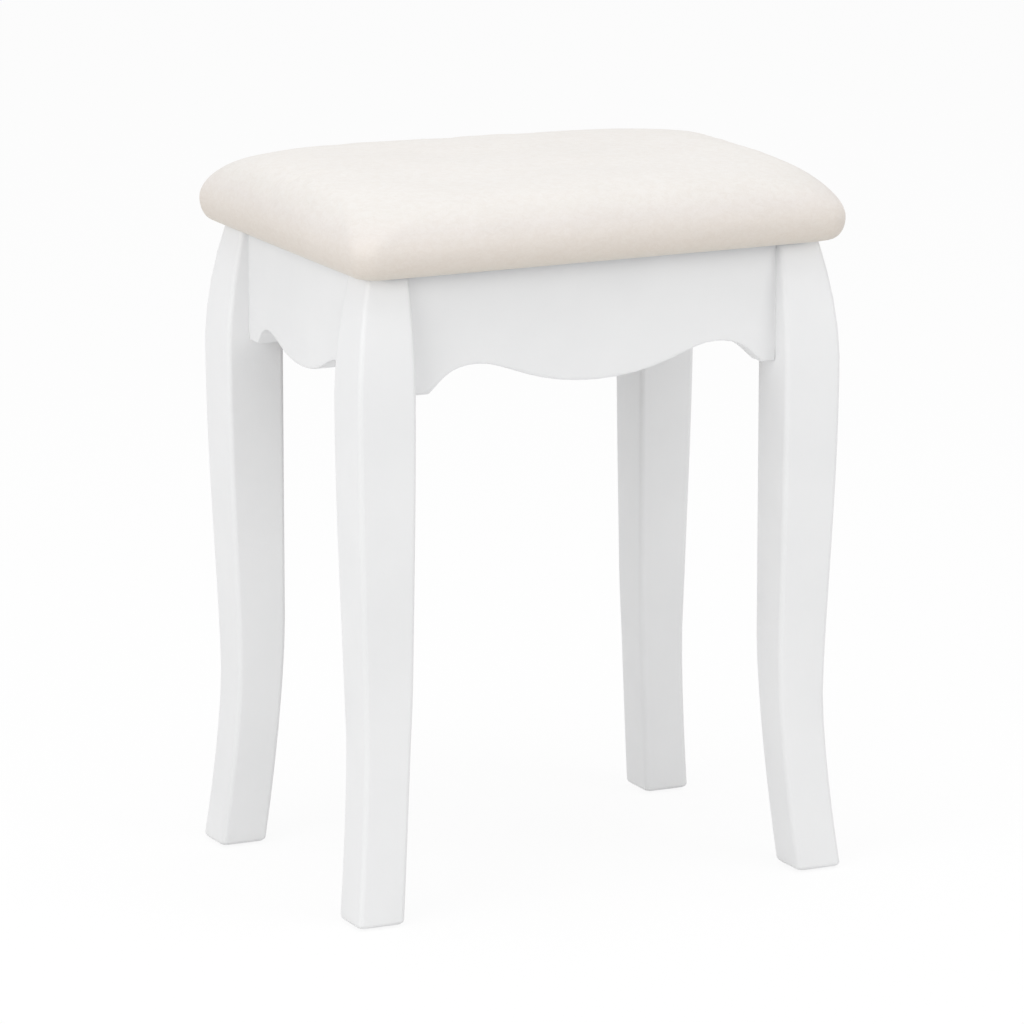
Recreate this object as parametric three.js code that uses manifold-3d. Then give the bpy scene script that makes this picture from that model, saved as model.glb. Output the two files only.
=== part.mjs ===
// Upholstered vanity stool: four two-way sawn cabriole legs, four scalloped aprons
// and a padded seat in cream velvet. Millimetres, +Z up, origin on the floor under
// the middle of the seat. The long sides face front (-Y) and back (+Y).
import * as THREE from 'three';
import { mergeVertices } from 'three/addons/utils/BufferGeometryUtils.js';
import Module from 'manifold-3d';

const wasm = await Module();
wasm.setup();

// Shared clearances
const seatGap = 0.3; // between pieces that rest on each other, and round what sits in a hole
const cutOverrun = 2; // how far a cutter runs past the face it opens

// Seat frame
const frameTop = 402; // top of the aprons and legs above the floor
const frameLong = 309; // over the outer leg faces at the top, left to right
const frameDeep = 217; // over the outer leg faces at the top, front to back
const apronThickness = 16;
const apronSetback = 4.5; // apron face behind the leg's outer face at the top
const longApronDepth = 74.3; // top edge down to the flat tab beside each leg
const sideApronDepth = 70.5;
const apronTab = 11.4; // length of that tab
const longArchRise = 16; // crest of each arch above the tab
const sideArchRise = 11;
const longLobeDrop = 0.8; // the middle lobe hangs this far below the tabs
const sideLobeDrop = 2.4;
const longCurveShift = 3; // the sawn curve sits this far right of the apron's middle
const sideCurveShift = 0;
const crestShare = 0.65; // place of the crest from the middle to the apron's end
const apronEasing = 1.6; // round on the lower edges
const archStartShare = 0.42; // of the arch's rise and run, where its steep start ends
const archStartLeanShare = 0.6; // how far that start leans towards the crest
const archFlatShare = 0.6; // of its run from tab to crest, level before the crest
const crestFlatShare = 0.24; // of the crest's place, level past the crest
const lobeFlatShare = 0.56; // of the crest's place, level at the middle of the lobe

// Legs
const legTopSquare = 28.6;
const kneeSwell = 10.3; // knee outside the top face
const kneeBelowTop = 75;
const ankleSwell = 4.2;
const ankleHeight = 112;
const footSpread = 13.2; // toe outside the top face
const footSquare = 31.2;
const calfHeight = 148; // below this the inner faces curve outward
const legArris = 3.5;
const footEdge = 2.6;
const kneePower = 1.8; // how late the top of the knee turns in
const thighPower = 0.82; // under 1, the swell starts low above the ankle
const flarePower = 1.5; // how late the toe turns out
const calfPower = 1.5; // and the inner faces

// Felt floor pads
const floorPadRadius = 9;
const floorPadThickness = 1;

// Dowels
const dowelRadius = 4;
const dowelInApron = 20;
const dowelWood = 1.2; // left between the two rows of dowels where they near each other
const dowelArchWood = 3.5; // between the lowest dowel and the crest of the arches
const dowelBoltWood = 2.6; // between the highest dowel and the hanger bolt
const longDowelHeightShares = [0, 0.67]; // of the height between those two limits
const sideDowelHeightShares = [0.33, 1];

// Corner blocks
const blockReach = 48; // along each apron
const blockTip = 8; // square end of each wing
const blockHeight = 30;
const blockBelowTop = 2;
const blockLegClearance = 1.6; // between the clipped corner and the leg's inner corner

// Hanger bolts, washers and nuts
const boltRadius = 3;
const boltInLeg = 24;
const boltPoint = 5;
const boltPastNut = 4;
const washerRadius = 8;
const washerThickness = 1.5;
const nutAcrossCorners = 11.5;
const nutThickness = 5;
const nutChamfer = 0.5; // taken off the nut's corners along its axis
const boltChamfer = 0.75;

// Wood screws
const seatScrewRadius = 2;
const seatScrewInBoard = 8;
const seatScrewHeadRadius = 4;
const seatScrewHeadHeight = 2.6;
const seatScrewAlongShare = 0.58; // of the block's reach, from the side apron's inner face
const seatScrewAcrossShare = 0.31; // of the block's reach, from the long apron's inner face
const blockScrewRadius = 1.8;
const blockScrewHeadRadius = 3.6;
const blockScrewHeadHeight = 2.2;
const blockScrewFromTip = 8; // from the block's square end
const blockScrewSeat = 8; // wood left under its head
const blockScrewInApron = 11;
const screwPoint = 4;
const screwFlatShare = 0.7; // of a head's radius, flat on top
const screwRimShare = 0.4; // of a head's height, the straight rim
const recessWidth = 0.9; // arms of the cross recess
const recessLongShare = 1.1; // of the head's radius, over the cross
const recessDeepShare = 0.5; // of the head's height

// Seat
const seatOverEnds = 14.4; // the pad's widest line past the frame's ends
const seatOverSides = 18; // and past its long sides
const fabricThickness = 1.2;
const hemWidth = 28;
const dustCoverThickness = 0.5;
const dustCoverMargin = 6; // board edge that stays bare round the dust cover
const dustCoverCorner = 16;
const boardThickness = 12;
const rollUnder = 8; // drawn-in lower edge of the pad
const sideCorner = 14; // plan radius of the pad's corners at the widest line
const shoulderCorner = 58; // plan radius where the shoulder meets the top
const shoulderWidth = 22;
const shoulderRise = 30;
const crownRise = 3.5;
const cornerFallShare = 0.24; // how much lower the pad's corners are pulled
const cornerFallPower = 2.2; // how near the corner that starts
const rollShares = [0.33, 0.7, 1]; // of a quarter turn, the rings of the drawn-in side
const crownEdgeShare = 0.5; // of a step, the crown's last ring from its middle

// Counts
const arcSteps = 3;
const padArcSteps = 5;
const padSideSteps = 4;
const padShoulderSteps = 6;
const padCrownSteps = 4;
const legLevels = 22;
const roundSides = 12;
const screwSides = 8;
const curveSteps = 9;

// Derived places
const seatLong = frameLong + 2 * seatOverEnds;
const seatDeep = frameDeep + 2 * seatOverSides;
const apronInner = apronSetback + apronThickness;
const cornerX = frameLong / 2 - apronInner; // where the aprons' inner faces meet
const cornerY = frameDeep / 2 - apronInner;
const legStep = legTopSquare - apronInner; // inner leg face inside the apron's inner face
const kneeHeight = frameTop - kneeBelowTop;
const longEdge = {
  depth: longApronDepth,
  rise: longArchRise,
  drop: longLobeDrop,
  shift: longCurveShift,
};
const sideEdge = {
  depth: sideApronDepth,
  rise: sideArchRise,
  drop: sideLobeDrop,
  shift: sideCurveShift,
};
const longCrest = frameTop - longApronDepth + longArchRise;
const sideCrest = frameTop - sideApronDepth + sideArchRise;
const soleHeight = floorPadThickness + seatGap;
const blockTop = frameTop - blockBelowTop;
const boltHeight = blockTop - blockHeight / 2;
const dowelLow = Math.max(longCrest, sideCrest) + dowelArchWood + dowelRadius;
const dowelHigh = boltHeight - boltRadius - dowelBoltWood - dowelRadius;
const dowelInLeg = legStep + apronThickness / 2 - dowelRadius - dowelWood;
const blockScrewAlong = blockReach - blockScrewFromTip;
const seatScrewAlong = blockReach * seatScrewAlongShare;
const seatScrewAcross = blockReach * seatScrewAcrossShare;
const dustCoverBottom = frameTop + seatGap;
const padBottom = dustCoverBottom + dustCoverThickness + seatGap;
const boardBottom = padBottom + fabricThickness + seatGap;
const boardTop = boardBottom + boardThickness;
const widestHeight = boardTop + seatGap;
const boardInset = rollUnder + fabricThickness + seatGap; // from the seat's widest line
const boardCorner = sideCorner - rollUnder / 2;
const boardHalfX = seatLong / 2 - boardInset;
const boardHalfY = seatDeep / 2 - boardInset;

const paint = { color: 0xf1f1ef, roughness: 0.42, metalness: 0 };
const rawWood = { color: 0xc9a878, roughness: 0.8, metalness: 0 };
const velvet = { color: 0xf0e8de, roughness: 0.95, metalness: 0 };
const foam = { color: 0xf3e9b8, roughness: 1, metalness: 0 };
const cambric = { color: 0x26262a, roughness: 0.95, metalness: 0 };
const felt = { color: 0xdedbd4, roughness: 1, metalness: 0 };
const zinc = { color: 0xb9bdc0, roughness: 0.35, metalness: 1 };

function finish(look) {
  return new THREE.MeshStandardMaterial(look);
}

function solidOf(geometry) {
  const bare = geometry.clone();
  bare.deleteAttribute('normal');
  bare.deleteAttribute('uv');
  const merged = mergeVertices(bare);
  return new wasm.Manifold(new wasm.Mesh({
    numProp: 3,
    vertProperties: new Float32Array(merged.attributes.position.array),
    triVerts: new Uint32Array(merged.index.array),
  }));
}

function geometryOf(solid) {
  const mesh = solid.getMesh();
  const geometry = new THREE.BufferGeometry();
  geometry.setAttribute('position', new THREE.BufferAttribute(mesh.vertProperties, 3));
  geometry.setIndex(new THREE.BufferAttribute(mesh.triVerts, 1));
  geometry.computeVertexNormals();
  return geometry;
}

function cut(geometry, cutters) {
  let solid = solidOf(geometry);
  for (const cutter of cutters) {
    solid = solid.subtract(solidOf(cutter));
  }
  return geometryOf(solid);
}

// A solid skinned over rings of equal point counts, closed by a fan at each end.
function loft(rings) {
  const positions = [];
  const index = [];
  const count = rings[0].length;
  for (const ring of rings) {
    for (const point of ring) {
      positions.push(point.x, point.y, point.z);
    }
  }
  for (let r = 0; r + 1 < rings.length; r += 1) {
    for (let k = 0; k < count; k += 1) {
      const a = r * count + k;
      const b = r * count + (k + 1) % count;
      index.push(a, b, b + count, a, b + count, a + count);
    }
  }
  for (const [r, lower] of [[0, true], [rings.length - 1, false]]) {
    const centre = positions.length / 3;
    const middle = new THREE.Vector3();
    rings[r].forEach((point) => middle.add(point));
    middle.divideScalar(count);
    positions.push(middle.x, middle.y, middle.z);
    for (let k = 0; k < count; k += 1) {
      const a = r * count + k;
      const b = r * count + (k + 1) % count;
      if (lower) {
        index.push(centre, b, a);
      } else {
        index.push(centre, a, b);
      }
    }
  }
  const geometry = new THREE.BufferGeometry();
  geometry.setAttribute('position', new THREE.Float32BufferAttribute(positions, 3));
  geometry.setIndex(index);
  geometry.computeVertexNormals();
  return geometry;
}

// A rounded rectangle seen from above, counter-clockwise, with its sides divided.
function roundedRing(box, radius, z, steps, sideSteps) {
  const r = Math.min(radius, (box.maxX - box.minX) / 2, (box.maxY - box.minY) / 2);
  const corners = [
    { x: box.maxX - r, y: box.maxY - r, turn: 0 },
    { x: box.minX + r, y: box.maxY - r, turn: Math.PI / 2 },
    { x: box.minX + r, y: box.minY + r, turn: Math.PI },
    { x: box.maxX - r, y: box.minY + r, turn: Math.PI * 1.5 },
  ];
  const ring = [];
  corners.forEach((corner, c) => {
    for (let k = 0; k <= steps; k += 1) {
      const angle = corner.turn + (k / steps) * (Math.PI / 2);
      ring.push(new THREE.Vector3(corner.x + r * Math.cos(angle), corner.y + r * Math.sin(angle), z));
    }
    const next = corners[(c + 1) % corners.length];
    const from = ring[ring.length - 1];
    const to = new THREE.Vector3(
      next.x + r * Math.cos(next.turn),
      next.y + r * Math.sin(next.turn),
      z,
    );
    for (let k = 1; k < sideSteps; k += 1) {
      ring.push(from.clone().lerp(to, k / sideSteps));
    }
  });
  return ring;
}

function mirroredInX(geometry) {
  const mirrored = geometry.clone();
  mirrored.scale(-1, 1, 1);
  const turned = mirrored.index.array.slice().reverse();
  mirrored.setIndex(new THREE.BufferAttribute(turned, 1));
  mirrored.computeVertexNormals();
  return mirrored;
}

function rodAlong(axis, radius, length, sides) {
  const rod = new THREE.CylinderGeometry(radius, radius, length, sides);
  if (axis === 'x') {
    rod.rotateZ(-Math.PI / 2);
  }
  if (axis === 'z') {
    rod.rotateX(Math.PI / 2);
  }
  return rod;
}

// A straight hole from one end point to the other.
function drill(from, to, radius, sides = roundSides) {
  const line = new THREE.Vector3().subVectors(to, from);
  const hole = new THREE.CylinderGeometry(radius, radius, line.length(), sides);
  const up = new THREE.Vector3(0, 1, 0);
  hole.applyQuaternion(new THREE.Quaternion().setFromUnitVectors(up, line.clone().normalize()));
  const middle = from.clone().add(to).multiplyScalar(0.5);
  hole.translate(middle.x, middle.y, middle.z);
  return hole;
}

// How far the leg's outer face stands outside its top face, at each height.
function outerSwell(z) {
  if (z < ankleHeight) {
    const below = (ankleHeight - z) / ankleHeight;
    return ankleSwell + (footSpread - ankleSwell) * below ** flarePower;
  }
  if (z < kneeHeight) {
    const rise = ((z - ankleHeight) / (kneeHeight - ankleHeight)) ** thighPower;
    return ankleSwell + (kneeSwell - ankleSwell) * rise * rise * (3 - 2 * rise);
  }
  const above = (z - kneeHeight) / (frameTop - kneeHeight);
  return kneeSwell * (1 - above ** kneePower);
}

// How far the leg's inner face stands inside the outer top face, at each height.
function innerStand(z) {
  const below = Math.max(0, (calfHeight - z) / calfHeight);
  return legTopSquare - (legTopSquare - (footSquare - footSpread)) * below ** calfPower;
}

// The leg's square section at a height, in the frame of its corner of the stool.
function legRing(z, inset) {
  const outer = -apronInner - outerSwell(z) + inset;
  const inner = -apronInner + innerStand(z) - inset;
  const box = { minX: outer, maxX: inner, minY: outer, maxY: inner };
  return roundedRing(box, legArris, z, arcSteps, 1);
}

function dowelHeights(shares) {
  return shares.map((share) => dowelLow + (dowelHigh - dowelLow) * share);
}

// The line that a hanger bolt runs along, measured from the corner towards the middle.
function diagonal(distance, z) {
  const side = distance / Math.SQRT2;
  return new THREE.Vector3(side, side, z);
}

const legCornerDistance = legStep * Math.SQRT2;
const blockClipDistance = legCornerDistance + blockLegClearance;
const blockFaceDistance = (blockReach + blockTip) / Math.SQRT2;

function legGeometry() {
  const rings = [];
  for (let k = 0; k < arcSteps; k += 1) {
    const angle = (k / arcSteps) * (Math.PI / 2);
    const z = soleHeight + footEdge * (1 - Math.cos(angle));
    rings.push(legRing(z, footEdge * (1 - Math.sin(angle))));
  }
  const start = soleHeight + footEdge;
  for (let k = 0; k <= legLevels; k += 1) {
    rings.push(legRing(start + (frameTop - start) * (k / legLevels), 0));
  }
  const holes = [];
  const middle = -apronThickness / 2;
  const end = legStep - dowelInLeg - seatGap;
  const open = legStep + cutOverrun;
  const radius = dowelRadius + seatGap;
  for (const z of dowelHeights(longDowelHeightShares)) {
    holes.push(drill(new THREE.Vector3(end, middle, z), new THREE.Vector3(open, middle, z), radius));
  }
  for (const z of dowelHeights(sideDowelHeightShares)) {
    holes.push(drill(new THREE.Vector3(middle, end, z), new THREE.Vector3(middle, open, z), radius));
  }
  const boltEnd = diagonal(legCornerDistance - boltInLeg - seatGap, boltHeight);
  const boltOpen = diagonal(legCornerDistance + cutOverrun, boltHeight);
  holes.push(drill(boltEnd, boltOpen, boltRadius + seatGap));
  return cut(loft(rings), holes);
}

// Lower edge of an apron: tab, arch, middle lobe, arch, tab. Each curve runs level at
// the crest and at the lobe's middle.
function apronOutline(halfLength, edge) {
  const tabHeight = frameTop - edge.depth;
  const crestX = halfLength * crestShare;
  const crestZ = tabHeight + edge.rise;
  const lobeZ = tabHeight - edge.drop;
  const tabX = halfLength - apronTab;
  const archRun = tabX - crestX;
  const startX = tabX - archRun * archStartShare * archStartLeanShare;
  const startZ = tabHeight + edge.rise * archStartShare;
  const end = halfLength + apronEasing;
  const top = frameTop + apronEasing;
  const flatX = crestX + archRun * archFlatShare;
  const levelX = crestX * (1 - crestFlatShare);
  const lobeX = crestX * lobeFlatShare;
  const at = (x) => x + edge.shift;
  const shape = new THREE.Shape();
  shape.moveTo(-end, top);
  shape.lineTo(-end, tabHeight);
  shape.lineTo(at(-tabX), tabHeight);
  shape.bezierCurveTo(at(-startX), startZ, at(-flatX), crestZ, at(-crestX), crestZ);
  shape.bezierCurveTo(at(-levelX), crestZ, at(-lobeX), lobeZ, at(0), lobeZ);
  shape.bezierCurveTo(at(lobeX), lobeZ, at(levelX), crestZ, at(crestX), crestZ);
  shape.bezierCurveTo(at(flatX), crestZ, at(startX), startZ, at(tabX), tabHeight);
  shape.lineTo(end, tabHeight);
  shape.lineTo(end, top);
  shape.closePath();
  return shape;
}

// One apron, its outer face on -Y and its inner face on y = 0, with dowel and screw holes.
function apronGeometry(halfLength, cornerHalf, shares, edge) {
  const blank = new THREE.ExtrudeGeometry(apronOutline(halfLength, edge), {
    depth: apronThickness - 2 * apronEasing,
    bevelEnabled: true,
    bevelThickness: apronEasing,
    bevelSize: apronEasing,
    bevelOffset: -apronEasing,
    bevelSegments: 2,
    curveSegments: curveSteps,
  });
  blank.rotateX(Math.PI / 2);
  blank.translate(0, -apronEasing, 0);
  const trimHeight = edge.depth + edge.drop + cutOverrun;
  const trim = new THREE.BoxGeometry(2 * halfLength, apronThickness + 2 * cutOverrun, trimHeight);
  trim.translate(0, -apronThickness / 2, frameTop - trimHeight / 2);
  const trimmed = geometryOf(solidOf(blank).intersect(solidOf(trim)));
  const holes = [];
  const middle = -apronThickness / 2;
  for (const side of [-1, 1]) {
    const open = side * (halfLength + cutOverrun);
    const end = side * (halfLength - dowelInApron);
    for (const z of dowelHeights(shares)) {
      const from = new THREE.Vector3(open, middle, z);
      holes.push(drill(from, new THREE.Vector3(end, middle, z), dowelRadius + seatGap));
    }
    const screwX = side * (cornerHalf - blockScrewAlong);
    holes.push(drill(
      new THREE.Vector3(screwX, cutOverrun, boltHeight),
      new THREE.Vector3(screwX, -blockScrewInApron - seatGap, boltHeight),
      blockScrewRadius + seatGap,
      screwSides,
    ));
  }
  return cut(trimmed, holes);
}

function dowelGeometry(axis) {
  return rodAlong(axis, dowelRadius, dowelInLeg + dowelInApron - seatGap, roundSides);
}

// Corner block: two square wing ends, a sloping inner face and a clipped outer corner.
function blockGeometry() {
  const clip = blockClipDistance * Math.SQRT2 - seatGap;
  const shape = new THREE.Shape();
  shape.moveTo(clip, seatGap);
  shape.lineTo(blockReach, seatGap);
  shape.lineTo(blockReach, blockTip);
  shape.lineTo(blockTip, blockReach);
  shape.lineTo(seatGap, blockReach);
  shape.lineTo(seatGap, clip);
  shape.closePath();
  const blank = new THREE.ExtrudeGeometry(shape, { depth: blockHeight, bevelEnabled: false });
  blank.translate(0, 0, blockTop - blockHeight);
  const holes = [];
  holes.push(drill(
    diagonal(0, boltHeight),
    diagonal(blockFaceDistance + cutOverrun, boltHeight),
    boltRadius + seatGap,
  ));
  holes.push(drill(
    new THREE.Vector3(seatScrewAlong, seatScrewAcross, blockTop - blockHeight - cutOverrun),
    new THREE.Vector3(seatScrewAlong, seatScrewAcross, blockTop + cutOverrun),
    seatScrewRadius + seatGap,
    screwSides,
  ));
  const headOpen = blockFaceDistance + cutOverrun;
  for (const alongX of [true, false]) {
    const place = (inward) => (alongX
      ? new THREE.Vector3(blockScrewAlong, inward, boltHeight)
      : new THREE.Vector3(inward, blockScrewAlong, boltHeight));
    holes.push(drill(place(-cutOverrun), place(headOpen), blockScrewRadius + seatGap, screwSides));
    holes.push(drill(place(blockScrewSeat), place(headOpen), blockScrewHeadRadius + seatGap));
  }
  return cut(blank, holes);
}

// A turned piece on the Z axis: radius and height pairs, from the axis back to the axis.
function turned(profile, sides) {
  const points = profile.map(([radius, height]) => new THREE.Vector2(radius, height));
  const lathe = new THREE.LatheGeometry(points, sides);
  lathe.rotateX(Math.PI / 2);
  return lathe;
}

// Wood screw: its head's underside on z = 0, the shank running up to the point, with a
// cross recess in the head.
function screwGeometry(radius, headRadius, headHeight, length) {
  const blank = turned([
    [0, -headHeight],
    [headRadius * screwFlatShare, -headHeight],
    [headRadius, -headHeight * screwRimShare],
    [headRadius, 0],
    [radius, 0],
    [radius, length - screwPoint],
    [0, length],
  ], screwSides);
  const long = headRadius * recessLongShare;
  const deep = headHeight * recessDeepShare + cutOverrun;
  const arms = [
    new THREE.BoxGeometry(long, recessWidth, deep),
    new THREE.BoxGeometry(recessWidth, long, deep),
  ];
  arms.forEach((arm) => arm.translate(0, 0, -headHeight - cutOverrun + deep / 2));
  return cut(blank, arms);
}

const washerStart = blockFaceDistance + seatGap;
const nutStart = washerStart + washerThickness + seatGap;
const boltEndDistance = nutStart + nutThickness + boltPastNut;
const boltStartDistance = legCornerDistance - boltInLeg;

// Hanger bolt: its pointed wood end on z = 0.
function hangerBoltGeometry() {
  const length = boltEndDistance - boltStartDistance;
  return turned([
    [0, 0],
    [boltRadius, boltPoint],
    [boltRadius, length - boltChamfer],
    [boltRadius - boltChamfer, length],
    [0, length],
  ], roundSides);
}

function washerGeometry() {
  const disc = rodAlong('z', washerRadius, washerThickness, roundSides * 2);
  const bore = rodAlong('z', boltRadius + seatGap, washerThickness + 2 * cutOverrun, roundSides);
  const washer = cut(disc, [bore]);
  washer.translate(0, 0, washerThickness / 2);
  return washer;
}

// Hexagon nut, its corners chamfered at both ends.
function nutGeometry() {
  const corner = nutAcrossCorners / 2;
  const flat = corner * Math.cos(Math.PI / 6);
  const half = nutThickness / 2;
  const hexagon = rodAlong('z', corner, nutThickness, 6);
  const turning = turned([
    [0, -half],
    [flat, -half],
    [corner, nutChamfer - half],
    [corner, half - nutChamfer],
    [flat, half],
    [0, half],
  ], roundSides * 2);
  const chamfered = geometryOf(solidOf(hexagon).intersect(solidOf(turning)));
  const bore = rodAlong('z', boltRadius + seatGap, nutThickness + 2 * cutOverrun, roundSides);
  const nut = cut(chamfered, [bore]);
  nut.translate(0, 0, half);
  return nut;
}

function floorPadGeometry() {
  const pad = rodAlong('z', floorPadRadius, floorPadThickness, roundSides * 2);
  pad.translate(0, 0, floorPadThickness / 2);
  return pad;
}

// The pad's corners are pulled lower than the middles of its sides.
function cornerFall(point) {
  const x = Math.abs(point.x) / (seatLong / 2);
  const y = Math.abs(point.y) / (seatDeep / 2);
  return 1 - cornerFallShare * (x * y) ** cornerFallPower;
}

// Rings over the pad's surface, a distance inside the outside: the hem's edge, the edge it
// turns at, the drawn-in side, the widest line, the shoulder and the crown.
function padRings(inside) {
  const rings = [];
  const halfX = seatLong / 2 - inside;
  const halfY = seatDeep / 2 - inside;
  const ring = (inset, radius, z, scale = 1) => {
    const x = (halfX - inset) * scale;
    const y = (halfY - inset) * scale;
    const box = { minX: -x, maxX: x, minY: -y, maxY: y };
    rings.push(roundedRing(box, radius * scale, z, padArcSteps, padSideSteps));
  };
  const low = padBottom + inside;
  ring(rollUnder + hemWidth - inside, boardCorner, low);
  ring(rollUnder, boardCorner, low);
  for (const share of rollShares) {
    const angle = share * (Math.PI / 2);
    const z = widestHeight - (widestHeight - low) * Math.cos(angle);
    ring(rollUnder * (1 - Math.sin(angle)), sideCorner - inside, z);
  }
  const above = rings.length;
  for (let k = 1; k <= padShoulderSteps; k += 1) {
    const angle = (k / padShoulderSteps) * (Math.PI / 2);
    const across = 1 - Math.cos(angle);
    const radius = sideCorner - inside + (shoulderCorner - sideCorner) * across;
    const z = widestHeight + (shoulderRise - inside) * Math.sin(angle);
    ring(shoulderWidth * across, radius, z);
  }
  for (let k = 1; k <= padCrownSteps; k += 1) {
    const scale = 1 - k / (padCrownSteps + crownEdgeShare);
    const z = widestHeight + shoulderRise - inside + crownRise * (1 - scale * scale);
    ring(shoulderWidth, shoulderCorner - inside, z, scale);
  }
  rings.slice(above).forEach((points) => points.forEach((point) => {
    point.z = widestHeight + (point.z - widestHeight) * cornerFall(point);
  }));
  return rings;
}

// The velvet cover: one skin that wraps the pad and returns under the board as a hem.
function coverGeometry() {
  const outside = padRings(0);
  const inside = padRings(fabricThickness);
  const positions = [];
  const index = [];
  const count = outside[0].length;
  const rings = [...outside].reverse().concat(inside);
  rings.forEach((ring) => ring.forEach((point) => positions.push(point.x, point.y, point.z)));
  for (let r = 0; r + 1 < rings.length; r += 1) {
    for (let k = 0; k < count; k += 1) {
      const a = r * count + k;
      const b = r * count + (k + 1) % count;
      index.push(b, a, b + count, b + count, a, a + count);
    }
  }
  for (const [r, top] of [[0, true], [rings.length - 1, false]]) {
    const z = rings[r].reduce((sum, point) => sum + point.z, 0) / count;
    const centre = positions.length / 3;
    positions.push(0, 0, z);
    for (let k = 0; k < count; k += 1) {
      const a = r * count + k;
      const b = r * count + (k + 1) % count;
      if (top) {
        index.push(centre, a, b);
      } else {
        index.push(centre, b, a);
      }
    }
  }
  const geometry = new THREE.BufferGeometry();
  geometry.setAttribute('position', new THREE.Float32BufferAttribute(positions, 3));
  geometry.setIndex(index);
  geometry.computeVertexNormals();
  return geometry;
}

// The foam lies on the board and wraps its edge, down to the turn of the drawn-in side.
function foamGeometry() {
  const wrapped = padRings(fabricThickness + seatGap).slice(2);
  const x = boardHalfX + seatGap;
  const y = boardHalfY + seatGap;
  const box = { minX: -x, maxX: x, minY: -y, maxY: y };
  const seat = [boardBottom - cutOverrun, boardTop + seatGap].map((z) => (
    roundedRing(box, boardCorner + seatGap, z, padArcSteps, 1)
  ));
  return cut(loft(wrapped), [loft(seat)]);
}

// A flat sheet with rounded corners and the four seat screw holes.
function plateGeometry(halfX, halfY, corner, bottom, thickness, holeTop) {
  const box = { minX: -halfX, maxX: halfX, minY: -halfY, maxY: halfY };
  const rings = [bottom, bottom + thickness].map((z) => roundedRing(box, corner, z, padArcSteps, 1));
  const holes = [];
  for (const [sx, sy] of [[-1, -1], [1, -1], [-1, 1], [1, 1]]) {
    const x = sx * (cornerX - seatScrewAlong);
    const y = sy * (cornerY - seatScrewAcross);
    holes.push(drill(
      new THREE.Vector3(x, y, bottom - cutOverrun),
      new THREE.Vector3(x, y, holeTop),
      seatScrewRadius + seatGap,
      screwSides,
    ));
  }
  return cut(loft(rings), holes);
}

function boardGeometry() {
  const screwTop = boardBottom + seatScrewInBoard + seatGap;
  return plateGeometry(boardHalfX, boardHalfY, boardCorner, boardBottom, boardThickness, screwTop);
}

function dustCoverGeometry() {
  return plateGeometry(
    boardHalfX - dustCoverMargin,
    boardHalfY - dustCoverMargin,
    dustCoverCorner,
    dustCoverBottom,
    dustCoverThickness,
    dustCoverBottom + dustCoverThickness + cutOverrun,
  );
}

function piece(name, geometry, look) {
  const mesh = new THREE.Mesh(geometry, finish(look));
  mesh.name = name;
  return mesh;
}

const stool = new THREE.Group();

stool.add(piece('seat_cover', coverGeometry(), velvet));
stool.add(piece('seat_foam', foamGeometry(), foam));
stool.add(piece('seat_board', boardGeometry(), rawWood));
stool.add(piece('dust_cover', dustCoverGeometry(), cambric));

// Aprons: the long form and the side form, each turned to face its two sides.
const longHalf = frameLong / 2 - legTopSquare - seatGap;
const sideHalf = frameDeep / 2 - legTopSquare - seatGap;
const longApron = apronGeometry(longHalf, cornerX, longDowelHeightShares, longEdge);
const sideApron = apronGeometry(sideHalf, cornerY, sideDowelHeightShares, sideEdge);
for (const [name, geometry, across, turn] of [
  ['apron_front', longApron, cornerY, 0],
  ['apron_right', sideApron, cornerX, Math.PI / 2],
  ['apron_back', longApron, cornerY, Math.PI],
  ['apron_left', sideApron, cornerX, -Math.PI / 2],
]) {
  const side = new THREE.Group();
  side.rotation.z = turn;
  const apron = piece(name, geometry, paint);
  apron.position.y = -across;
  side.add(apron);
  stool.add(side);
}

// Each corner of the stool, drawn as the front left one. The opposite corner is the
// same turned half round, and the other two are its mirror image.
const leftHanded = { leg: legGeometry(), block: blockGeometry() };
const rightHanded = { leg: mirroredInX(leftHanded.leg), block: mirroredInX(leftHanded.block) };

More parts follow.
